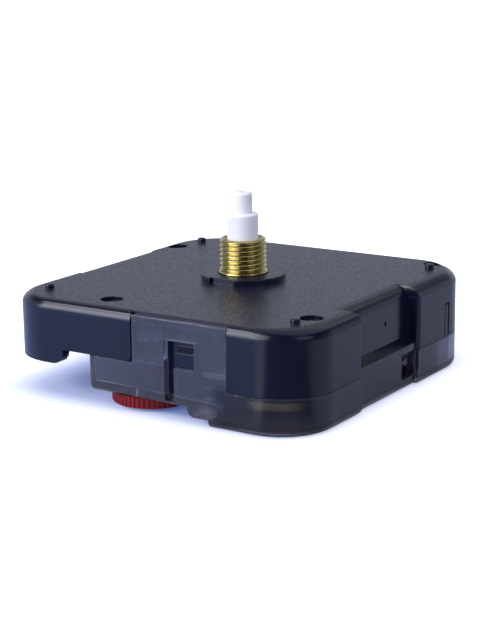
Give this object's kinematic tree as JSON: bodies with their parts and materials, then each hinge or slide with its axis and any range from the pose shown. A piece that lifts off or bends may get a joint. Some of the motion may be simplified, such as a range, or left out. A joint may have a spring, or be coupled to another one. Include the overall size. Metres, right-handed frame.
{
  "type": "quartz_clock_movement",
  "caption": "Battery quartz clock movement, 56 mm square case with threaded centre bushing, hand shafts, gear train and red setting knob",
  "frame": {"origin": "on the axis of the hand shafts, in the plane of the back face that the movement rests on", "axes": "+Z along the hand shafts towards the dial, -Y towards the snap tab, -X towards the battery bay"},
  "size_m": [0.056, 0.056, 0.0304],
  "materials": {
    "grey_plastic": "fine spark-eroded grain",
    "smoke_plastic": "translucent smoke grey",
    "red_plastic": "moulded, knurled rim",
    "white_plastic": "moulded acetal",
    "cream_plastic": "moulded",
    "brass": "turned",
    "steel": "plain",
    "tinned_strip": "nickel-plated strip",
    "ferrite": "sintered magnet",
    "copper": "enamelled copper wire",
    "board_brown": "paper laminate",
    "black_resin": "poured resin"
  },
  "bodies": {
    "case": {"front_housing": "grey_plastic", "rear_cover": "smoke_plastic", "threaded_bushing": "brass", "gear_bridge": "cream_plastic", "stator": "steel", "coil_core": "steel", "coil_bobbin": "cream_plastic", "coil_winding": "copper", "circuit_board": "board_brown", "chip_blob": "black_resin", "crystal_can": "steel", "positive_contact": "tinned_strip", "negative_contact": "tinned_strip"},
    "rotor": {"rotor_pinion": "white_plastic", "rotor_magnet": "ferrite"},
    "intermediate": {"intermediate_wheel": "white_plastic"},
    "seconds": {"seconds_arbor": "steel", "seconds_wheel": "white_plastic"},
    "third": {"third_wheel": "white_plastic"},
    "centre": {"centre_wheel": "white_plastic", "clutch_washer": "brass"},
    "minute": {"minute_arbor": "white_plastic"},
    "minute_transfer": {"minute_wheel": "white_plastic"},
    "hour": {"hour_wheel": "white_plastic"},
    "setting": {"setting_knob": "red_plastic", "setting_pinion": "white_plastic"}
  },
  "joints": [
    {"name": "rotor_spin", "type": "hinge", "parent": "case", "child": "rotor", "pos_m": [0.01385, 0.0028, 0], "axis": [0, 0, 1], "continuous": true},
    {"name": "intermediate_spin", "type": "hinge", "parent": "case", "child": "intermediate", "pos_m": [0.009, 0, 0], "axis": [0, 0, 1], "continuous": true},
    {"name": "seconds_spin", "type": "hinge", "parent": "case", "child": "seconds", "pos_m": [0, 0, 0], "axis": [0, 0, 1], "continuous": true},
    {"name": "third_spin", "type": "hinge", "parent": "case", "child": "third", "pos_m": [0, 0.009, 0], "axis": [0, 0, 1], "continuous": true},
    {"name": "centre_spin", "type": "hinge", "parent": "case", "child": "centre", "pos_m": [0, 0, 0], "axis": [0, 0, 1], "continuous": true},
    {"name": "minute_spin", "type": "hinge", "parent": "case", "child": "minute", "pos_m": [0, 0, 0], "axis": [0, 0, 1], "continuous": true},
    {"name": "minute_wheel_spin", "type": "hinge", "parent": "case", "child": "minute_transfer", "pos_m": [0.00124, -0.00952, 0], "axis": [0, 0, 1], "continuous": true},
    {"name": "hour_spin", "type": "hinge", "parent": "case", "child": "hour", "pos_m": [0, 0, 0], "axis": [0, 0, 1], "continuous": true},
    {"name": "setting_spin", "type": "hinge", "parent": "case", "child": "setting", "pos_m": [-0.0036, -0.0205, 0], "axis": [0, 0, 1], "continuous": true}
  ],
  "couplings": [
    {"joint": "intermediate_spin", "follows": "rotor_spin", "ratio": -0.16667},
    {"joint": "seconds_spin", "follows": "rotor_spin", "ratio": 0.033333},
    {"joint": "third_spin", "follows": "rotor_spin", "ratio": -0.0044444},
    {"joint": "centre_spin", "follows": "rotor_spin", "ratio": 0.00055556},
    {"joint": "minute_wheel_spin", "follows": "minute_spin", "ratio": -0.33333},
    {"joint": "hour_spin", "follows": "minute_spin", "ratio": 0.083333},
    {"joint": "setting_spin", "follows": "minute_spin", "ratio": 0.5}
  ]
}
